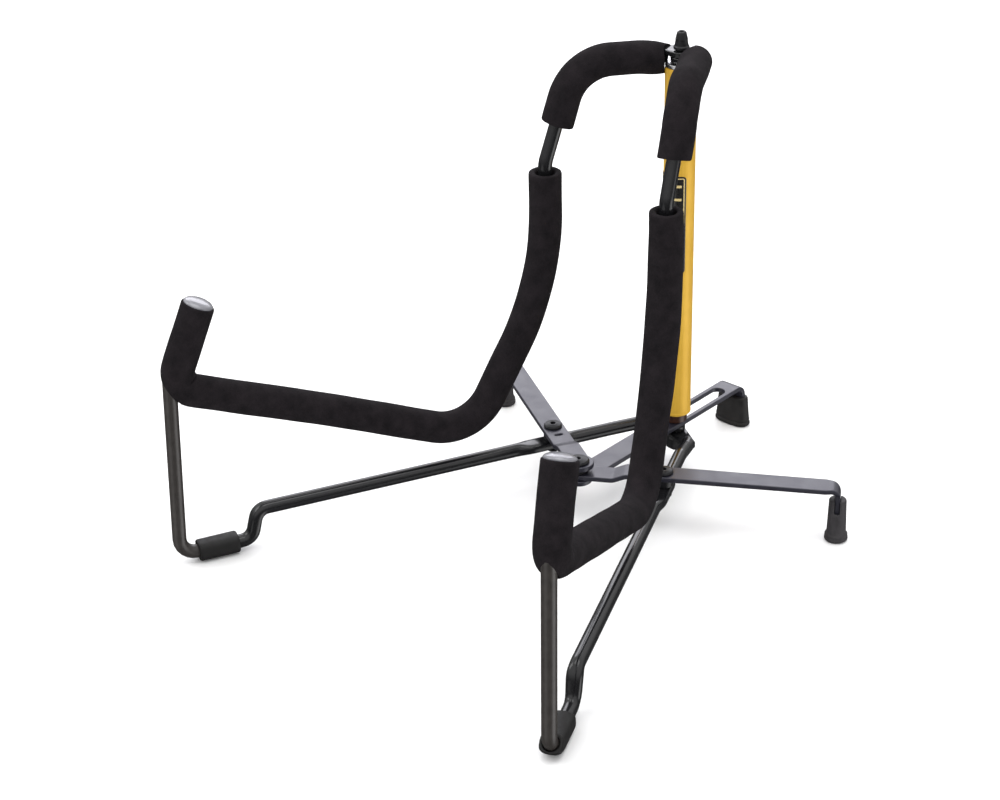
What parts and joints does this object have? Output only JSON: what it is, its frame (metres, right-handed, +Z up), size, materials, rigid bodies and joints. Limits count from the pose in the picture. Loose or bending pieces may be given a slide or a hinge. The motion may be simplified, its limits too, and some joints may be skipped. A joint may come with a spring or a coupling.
{
  "type": "folding guitar stand",
  "caption": "Small folding floor stand for a guitar: two padded rod frames hinged on a short column, braced by flat struts and a slotted slide bar.",
  "frame": {"origin": "on the floor plane, under the middle of the open stand's bounding box", "axes": "+Z up, -Y towards the instrument and the front feet, +Y towards the rear slide-bar foot, +X towards the right-hand frame"},
  "size_m": [0.216, 0.2594, 0.2033],
  "materials": {
    "amber": "satin gold anodised-look coating",
    "black": "glossy black coated steel wire",
    "satin": "satin black flat steel bar",
    "leg": "matte warm grey-brown coated steel wire",
    "foam": "matte closed-cell foam tube",
    "rubber": "moulded dark grey rubber",
    "plastic": "moulded black plastic",
    "bright": "bright plated metal",
    "label": "plain black printed film with a thin cream border, no lettering"
  },
  "bodies": {
    "column": {"column_tube": "amber", "column_label": "label", "upper_plug": "bright", "lower_plug": "plastic", "upper_hinge_pin": "black", "top_cap": "plastic", "hub_nut": "black", "hub_washer": "satin", "hub_collar": "plastic", "hub_bolt": "black"},
    "right_frame": {"right_yoke_rod": "black", "right_cradle_rod": "black", "right_upper_foam": "foam", "right_lower_foam": "foam", "right_finger_cap": "bright", "right_leg_rod": "leg", "right_foot_sleeve": "rubber", "right_base_rod": "black", "right_strut_rivet": "satin", "right_strut_spacer": "plastic"},
    "left_frame": {"left_yoke_rod": "black", "left_cradle_rod": "black", "left_upper_foam": "foam", "left_lower_foam": "foam", "left_finger_cap": "bright", "left_leg_rod": "leg", "left_foot_sleeve": "rubber", "left_base_rod": "black", "left_strut_rivet": "satin", "left_strut_spacer": "plastic"},
    "right_brace": {"right_strut": "satin", "right_boot": "rubber", "front_pin": "black", "front_spacer": "plastic"},
    "left_brace": {"left_strut": "satin", "left_boot": "rubber"},
    "slide": {"slide_bar": "satin", "slide_boot": "rubber"}
  },
  "joints": [
    {"name": "right_fold", "type": "hinge", "parent": "column", "child": "right_frame", "pos_m": [0, 0.0783, 0], "axis": [0, 0, -1], "range_deg": [0, 23]},
    {"name": "left_fold", "type": "hinge", "parent": "column", "child": "left_frame", "pos_m": [0, 0.0783, 0], "axis": [0, 0, -1], "range_deg": [-23, 0]},
    {"name": "right_strut_turn", "type": "hinge", "parent": "right_frame", "child": "right_brace", "pos_m": [0.03151, 0.0306, 0], "axis": [0, 0, -1], "range_deg": [-65.78, 0]},
    {"name": "left_strut_turn", "type": "hinge", "parent": "left_frame", "child": "left_brace", "pos_m": [-0.03151, 0.0306, 0], "axis": [0, 0, -1], "range_deg": [0, 65.78]},
    {"name": "slide_bar_turn", "type": "hinge", "parent": "right_brace", "child": "slide", "pos_m": [0, 0.0113, 0], "axis": [0, 0, -1], "range_deg": [0, 42.78]}
  ],
  "couplings": [
    {"joint": "left_fold", "follows": "right_fold", "ratio": -1},
    {"joint": "right_strut_turn", "follows": "right_fold", "ratio": -2.86},
    {"joint": "left_strut_turn", "follows": "right_fold", "ratio": 2.86},
    {"joint": "slide_bar_turn", "follows": "right_fold", "ratio": 1.86}
  ]
}
